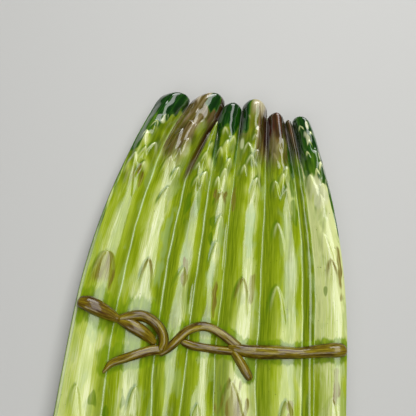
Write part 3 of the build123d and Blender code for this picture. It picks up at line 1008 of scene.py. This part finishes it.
def stalk_material():
    n = Nodes("stalk_glaze")
    grain = n.attribute("grain")
    green, brown, maroon = n.values("tips")
    crest, groove_pale_and_highlight, pool = n.values("form")
    leaf_edge, rim_glaze_and_highlight, marks = n.values("leaf")
    offset, seam_shade, _ = n.values("shade")
    dark_line, sage_mark, fleck = n.values("touch")
    left_band, right_band, cut = n.values("zone")
    cream, _, _ = n.values("cream")
    broad = n.noise(grain, (0.10, 0.022, 1.0), 2.0, 0.5, 0.4)
    stroke = n.noise(grain, (0.38, 0.030, 1.3), 3.0, 0.5, 0.3)
    hair = n.noise(grain, (1.5, 0.045, 1.7), 4.0, 0.6, 0.2)
    blot = n.noise(grain, (0.13, 0.045, 1.9), 3.0, 0.5, 0.6)
    fine = n.noise(grain, (0.7, 0.16, 2.0), 2.0)
    pits = n.noise(grain, (0.75, 0.55, 2.3), 1.0)
    brush = n.plus(n.swing(stroke, 0.55), n.swing(hair, 0.9))

    # Streaky green, paler on the crests, partly thinner glaze and partly a painted highlight, and darker on
    # the flanks
    tone = n.plus(n.plus(n.swing(broad, 0.8), offset), 0.5)
    tone = n.plus(tone, n.times(brush, 0.8))
    n.base = n.colours(
        tone, (0.1, "5E7600"), (0.3, "7E9200"), (0.48, "94AA0C"), (0.64, "ABBD32"), (0.82, "C4D264"),
        (0.97, "DEE69C"),
    )
    # Pale glaze over the crests, partly a painted highlight
    pale_glaze_and_highlight = n.colours(hair, (0.35, "BCCB66"), (0.5, "D0DB8A"), (0.65, "E4EAB4"))
    pale_part_and_highlight = n.plus(crest, n.plus(brush, n.swing(blot, 0.9)))
    n.cover(n.ramp(pale_part_and_highlight, 0.15, 0.95, 0.0, 0.9), pale_glaze_and_highlight)
    dark = n.colours(hair, (0.35, "607A00"), (0.5, "7A9002"), (0.65, "92A618"))
    band = n.minus(n.plus(n.most(left_band, right_band), brush), n.swing(blot, 0.7))
    n.cover(n.ramp(band, 0.15, 0.8, 0.0, 0.9), dark)
    sage = n.times(n.ramp(blot, 0.52, 0.64), n.ramp(left_band, 0.5, 0.1))
    n.cover(n.times(sage, 0.4), "98B060")
    n.cover(n.times(sage_mark, n.ramp(hair, 0.3, 0.6, 0.75, 0.45)), "9CB86E")
    # Pale lines in the grooves: paler glaze with a painted highlight
    n.cover(n.times(groove_pale_and_highlight, n.ramp(blot, 0.36, 0.56, 0.3, 0.95)), "BAD094")

    # Leaves: olive outside their edges, partly drawn and partly painted shade, brown marks, and pale rims
    # of paler glaze with a painted highlight
    olive = n.times(n.ramp(leaf_edge, 0.1, 0.8), n.ramp(stroke, 0.36, 0.6, 1.0, 0.6))
    n.cover(olive, "5A7C00")
    bark = n.colours(hair, (0.3, "645610"), (0.5, "7E721E"), (0.7, "98904A"))
    marked = n.times(n.ramp(marks, 0.1, 0.9), n.ramp(stroke, 0.38, 0.6, 0.95, 0.55))
    n.cover(marked, bark)
    # Pale rims: paler glaze with a painted highlight
    n.cover(n.times(rim_glaze_and_highlight, n.ramp(marks, 0.2, 0.8, 0.68, 0.05)), "E2EAAC")

    # Heads
    wash = n.colours(stroke, (0.35, "3E2A0E"), (0.5, "604620"), (0.64, "867052"))
    n.cover(n.times(brown, n.ramp(hair, 0.3, 0.65, 1.0, 0.8)), wash)
    wine_tone = n.plus(stroke, n.times(offset, 0.5))
    wine = n.colours(wine_tone, (0.35, "1A0605"), (0.5, "44140C"), (0.66, "743A2C"))
    n.cover(n.times(maroon, n.ramp(hair, 0.3, 0.65, 1.0, 0.82)), wine)
    n.cover(cream, n.colours(hair, (0.35, "B8A880"), (0.6, "DCD0B0")))
    deep = n.colours(stroke, (0.35, "042C00"), (0.52, "0C3E02"), (0.68, "2C6206"))
    leafy = n.colours(stroke, (0.35, "24500A"), (0.52, "3A6604"), (0.68, "5C8414"))
    leafage = n.minus(n.plus(green, n.swing(hair, 0.5)), n.times(rim_glaze_and_highlight, 0.45))
    n.cover(n.ramp(leafage, 0.3, 0.58), n.mix(n.ramp(green, 0.68, 0.95), leafy, deep))
    n.cover(n.times(dark_line, 0.9), "47310E")
    # Painted shade with dark pooled glaze between the heads, browner under brown and maroon
    brownish = n.most(n.most(brown, maroon), dark_line)
    seam_shade_colour = n.mix(brownish, rgb("0C2003"), rgb("260F08"))
    n.cover(n.times(seam_shade, n.ramp(hair, 0.3, 0.65, 0.95, 0.75)), seam_shade_colour)
    n.cover(n.times(fleck, n.ramp(hair, 0.3, 0.6, 0.9, 0.6)), "E4E8B8")

    # Glaze pooled along the tie, pits, and the pale clay of the cut end
    wet = n.colours(stroke, (0.35, "6A8800"), (0.55, "7E9C00"), (0.7, "94AC0A"))
    near_tie = n.plus(n.plus(pool, n.swing(stroke, 1.4)), n.swing(blot, 1.2))
    n.cover(n.times(n.ramp(near_tie, 0.3, 0.7), 0.92), wet)
    at_tie = n.plus(pool, n.swing(blot, 0.6))
    n.cover(n.ramp(at_tie, 0.92, 1.12, 0.0, 0.5), "566A02")
    n.cover(n.ramp(pits, 0.755, 0.775, 0.0, 0.6), "4E5A08")
    n.cover(n.times(cut, 0.75), n.colours(blot, (0.4, "B0B66C"), (0.6, "D6D3A4")))

    # Gloss, with a thicker coat on the heads
    rough = n.plus(n.ramp(blot, 0.3, 0.7, 0.1, 0.18), n.times(groove_pale_and_highlight, 0.2))
    coat = n.ramp(n.most(n.most(brown, maroon), green), 0.2, 0.8, 0.6, 1.0)
    normal = n.bump(fine, 0.00006, 0.6, Normal=n.bump(hair, 0.00003, 0.5))
    n.set(Base_Color=n.base, Roughness=rough, Normal=normal, Coat_Weight=coat, Coat_Roughness=0.05, IOR=1.5)
    return n.material


def tie_material():
    n = Nodes("tie_glaze")
    grain = n.attribute("grain")
    height, _, _ = n.values("form")
    stroke = n.noise(grain, (0.35, 0.05, 1.0), 3.0, 0.5, 0.4)
    hair = n.noise(grain, (0.9, 0.035, 1.0), 3.0, 0.6)
    fibre = n.noise(grain, (2.4, 0.12, 1.0), 3.0, 0.6)
    # Painted shade: the tone darkens towards each strand's underside
    tone = n.plus(n.times(stroke, 0.8), n.times(n.minus(height, 0.4), 0.4))
    n.base = n.colours(tone, (0.34, "261400"), (0.48, "4E3800"), (0.6, "746202"), (0.74, "96881A"))
    n.cover(n.ramp(hair, 0.48, 0.64, 0.0, 0.7), "543608")
    # Olive patches, gathering on the undersides as painted shade
    olive_and_underside_shade = n.minus(stroke, n.times(height, 0.3))
    n.cover(n.ramp(olive_and_underside_shade, 0.36, 0.5, 0.0, 0.45), "4E5006")
    n.cover(n.ramp(fibre, 0.52, 0.62, 0.0, 0.55), "2A1800")
    n.cover(n.ramp(fibre, 0.46, 0.36, 0.0, 0.45), "AA9832")
    normal = n.bump(fibre, 0.00006, 0.6, Normal=n.bump(hair, 0.00003, 0.5))
    n.set(Base_Color=n.base, Roughness=n.ramp(hair, 0.3, 0.7, 0.2, 0.3), Normal=normal)
    n.set(Coat_Weight=0.5, Coat_Roughness=0.04, Coat_IOR=1.6, IOR=1.3)
    return n.material


def shell_material():
    n = Nodes("body_glaze")
    place = n.new("ShaderNodeTexCoord").outputs["Object"]
    inset, crest, _ = n.values("form")
    blot = n.noise(place, (28.0,) * 3, 4.0, 0.55, 0.5)
    stroke = n.noise(place, (220.0, 18.0, 60.0), 4.0, 0.55, 0.4)
    speck = n.noise(place, (900.0,) * 3, 2.0)
    n.base = n.colours(blot, (0.34, "C9D3A6"), (0.5, "DBDFBC"), (0.66, "E8E6CE"))
    wash = n.colours(stroke, (0.34, "45680A"), (0.5, "7C9A16"), (0.66, "AEC04E"))
    edge = n.plus(inset, n.swing(stroke, 0.9))
    n.cover(n.ramp(edge, 0.55, 0.15), wash)
    # Darkest green within about a millimetre of the edge: partly the green glaze, partly painted shade
    # where the rim turns away
    n.cover(n.ramp(inset, 0.075, 0.045, 0.0, 0.85), "3A5806")
    # Painted highlight along the lip
    n.cover(n.times(crest, n.ramp(blot, 0.4, 0.6, 0.95, 0.6)), "E2E8BE")
    n.cover(n.ramp(speck, 0.68, 0.74, 0.0, 0.5), "7C7A4A")
    n.set(Base_Color=n.base, Roughness=n.ramp(blot, 0.3, 0.7, 0.12, 0.24), Normal=n.bump(blot, 0.0006, 0.5))
    n.set(Coat_Weight=0.5, Coat_Roughness=0.06, IOR=1.5)
    return n.material


def foot_material():
    n = Nodes("bare_foot")
    place = n.new("ShaderNodeTexCoord").outputs["Object"]
    blot = n.noise(place, (60.0,) * 3, 4.0, 0.6, 0.3)
    grit = n.noise(place, (1600.0,) * 3, 3.0, 0.6)
    n.base = n.colours(blot, (0.34, "B9A68A"), (0.5, "D2C2A8"), (0.66, "E2D6C0"))
    n.cover(n.ramp(grit, 0.6, 0.75, 0.0, 0.5), "8E7B60")
    glaze = n.colours(blot, (0.36, "C6D0A2"), (0.64, "E4E3C8"))
    height = n.plus(n.parts(place)[2], n.swing(blot, 0.002))
    covered = n.ramp(height, 0.0012, 0.0022)
    n.cover(covered, glaze)
    n.set(Base_Color=n.base, Roughness=n.minus(0.85, n.times(covered, 0.68)))
    n.set(Normal=n.bump(grit, 0.00025, 0.6), IOR=1.5)
    return n.material


stalk_glaze = stalk_material()
tie_glaze = tie_material()
body_glaze = shell_material()
bare_foot = foot_material()

for stalk_number in range(COUNT):
    Stalk(stalk_number).build().data.materials.append(stalk_glaze)
for strand_name in STRANDS:
    build_strand(strand_name).data.materials.append(tie_glaze)
build_shell().data.materials.append(body_glaze)
build_foot().data.materials.append(bare_foot)

# Floor
FLOOR_HALF = 6000.0
floor_corners = np.array([(-1, -1, 0), (1, -1, 0), (1, 1, 0), (-1, 1, 0)]) * FLOOR_HALF
floor = add_mesh("floor", floor_corners, [(0, 1, 2, 3)])
paper = Nodes("floor")
paper.set(Base_Color=rgb("CACAC7"), Roughness=0.9)
floor.data.materials.append(paper.material)

# Light, in metres and watts
world = bpy.data.worlds.new("studio")
bpy.context.scene.world = world
world.use_nodes = True
background = world.node_tree.nodes["Background"]
background.inputs["Color"].default_value = (1.0, 1.0, 1.0, 1.0)
background.inputs["Strength"].default_value = 0.07


def softbox(name, place, target, width, length, power):
    """A rectangular lamp aimed at a target, its length along Y."""
    data = bpy.data.lights.new(name, "AREA")
    data.shape = "RECTANGLE"
    data.size, data.size_y, data.energy = width, length, power
    lamp = bpy.data.objects.new(name, data)
    bpy.context.scene.collection.objects.link(lamp)
    out = (Vector(place) - Vector(target)).normalized()
    across = Vector((0, 1, 0)).cross(out).normalized()
    facing = Matrix((across, out.cross(across), out)).transposed().to_4x4()
    lamp.matrix_world = Matrix.Translation(place) @ facing


softbox("key", (-0.25, -0.95, 1.35), (0.0, 0.05, 0), 1.3, 0.9, 8.4)
softbox("top_box", (0.22, 0.28, 0.92), (0.03, 0.16, 0), 0.52, 1.1, 5.8)
softbox("back", (0.1, 1.3, 0.95), (0.0, 0.05, 0), 1.1, 0.5, 11.0)

# Camera at the photograph's viewing angle, in metres
ELEVATION = math.radians(70.0)
SIDE = math.radians(6.0)
ROLL = math.radians(13.0)
DISTANCE = 0.3838
FIELD = math.radians(45.0)
AIM_POINT = (-0.0111, 0.0564, 0.012)
camera_data = bpy.data.cameras.new("camera")
camera_data.angle = FIELD
camera_data.clip_start = 0.01
camera = bpy.data.objects.new("camera", camera_data)
bpy.context.scene.collection.objects.link(camera)
tilt = Matrix.Rotation(math.pi / 2 - ELEVATION, 4, "X") @ Matrix.Rotation(ROLL, 4, "Z")
facing = Matrix.Rotation(-SIDE, 4, "Z") @ tilt
camera.matrix_world = Matrix.Translation(AIM_POINT) @ facing @ Matrix.Translation((0, 0, DISTANCE))
bpy.context.scene.camera = camera
bpy.context.scene.view_settings.view_transform = "Standard"
